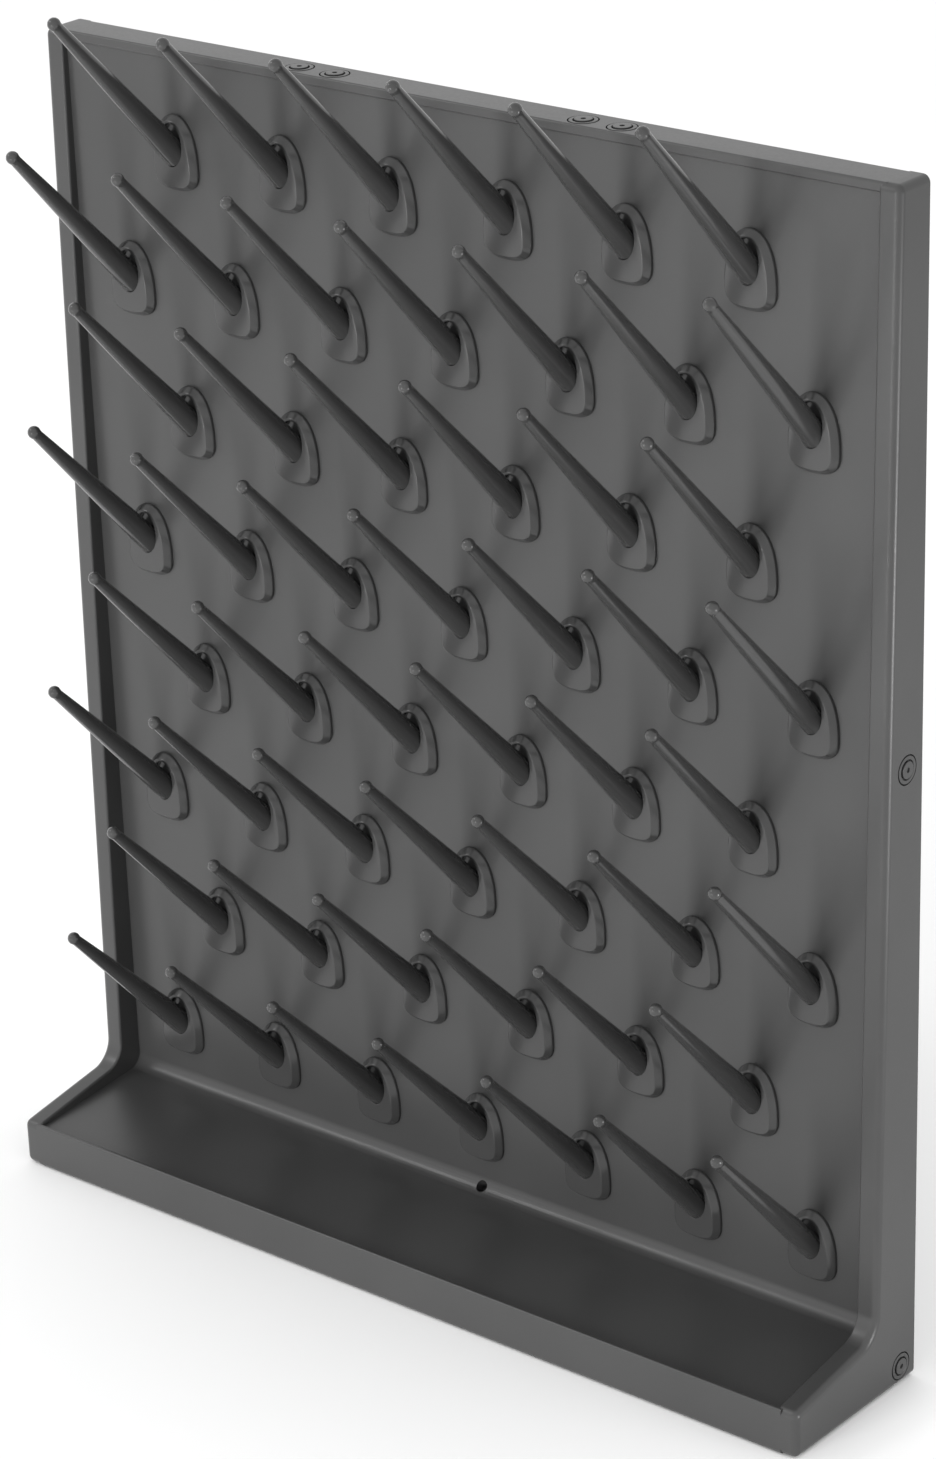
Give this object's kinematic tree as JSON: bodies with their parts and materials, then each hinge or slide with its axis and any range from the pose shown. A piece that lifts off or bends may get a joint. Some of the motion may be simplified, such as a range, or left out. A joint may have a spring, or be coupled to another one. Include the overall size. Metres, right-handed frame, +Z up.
{
  "type": "drying rack",
  "caption": "Wall-hung drying pegboard for laboratory glassware: a dark moulded board with staggered, upward-slanting push-in pegs and a shallow drip tray along its foot.",
  "frame": {"origin": "in the base plane, under the middle of the board's width and halfway along the tray's depth", "axes": "+Z up the board, +X to the right of someone facing it, -Y out of the board towards them, so +Y points into the wall"},
  "size_m": [0.5536, 0.1082, 0.6863],
  "materials": {
    "board_plastic": "moulded polypropylene, fine satin",
    "peg_plastic": "moulded polypropylene, satin",
    "cover_plastic": "matt sheet",
    "cap_plastic": "satin",
    "hanger_steel": "zinc plated"
  },
  "bodies": {
    "root": {"board_shell": "board_plastic", "rear_cover": "cover_plastic", "hanger_left": "hanger_steel", "hanger_right": "hanger_steel", "top_screws": "cap_plastic", "side_screws": "cap_plastic", "peg_1_1": "peg_plastic", "peg_1_2": "peg_plastic", "peg_1_3": "peg_plastic", "peg_1_4": "peg_plastic", "peg_1_5": "peg_plastic", "peg_1_6": "peg_plastic", "peg_2_1": "peg_plastic", "peg_2_2": "peg_plastic", "peg_2_3": "peg_plastic", "peg_2_4": "peg_plastic", "peg_2_5": "peg_plastic", "peg_2_6": "peg_plastic", "peg_2_7": "peg_plastic", "peg_3_1": "peg_plastic", "peg_3_2": "peg_plastic", "peg_3_3": "peg_plastic", "peg_3_4": "peg_plastic", "peg_3_5": "peg_plastic", "peg_3_6": "peg_plastic", "peg_4_1": "peg_plastic", "peg_4_2": "peg_plastic", "peg_4_3": "peg_plastic", "peg_4_4": "peg_plastic", "peg_4_5": "peg_plastic", "peg_4_6": "peg_plastic", "peg_4_7": "peg_plastic", "peg_5_1": "peg_plastic", "peg_5_2": "peg_plastic", "peg_5_3": "peg_plastic", "peg_5_4": "peg_plastic", "peg_5_5": "peg_plastic", "peg_5_6": "peg_plastic", "peg_6_1": "peg_plastic", "peg_6_2": "peg_plastic", "peg_6_3": "peg_plastic", "peg_6_4": "peg_plastic", "peg_6_5": "peg_plastic", "peg_6_6": "peg_plastic", "peg_6_7": "peg_plastic", "peg_7_1": "peg_plastic", "peg_7_2": "peg_plastic", "peg_7_3": "peg_plastic", "peg_7_4": "peg_plastic", "peg_7_5": "peg_plastic", "peg_7_6": "peg_plastic", "peg_8_1": "peg_plastic", "peg_8_2": "peg_plastic", "peg_8_3": "peg_plastic", "peg_8_4": "peg_plastic", "peg_8_5": "peg_plastic", "peg_8_6": "peg_plastic", "peg_8_7": "peg_plastic"}
  },
  "joints": []
}
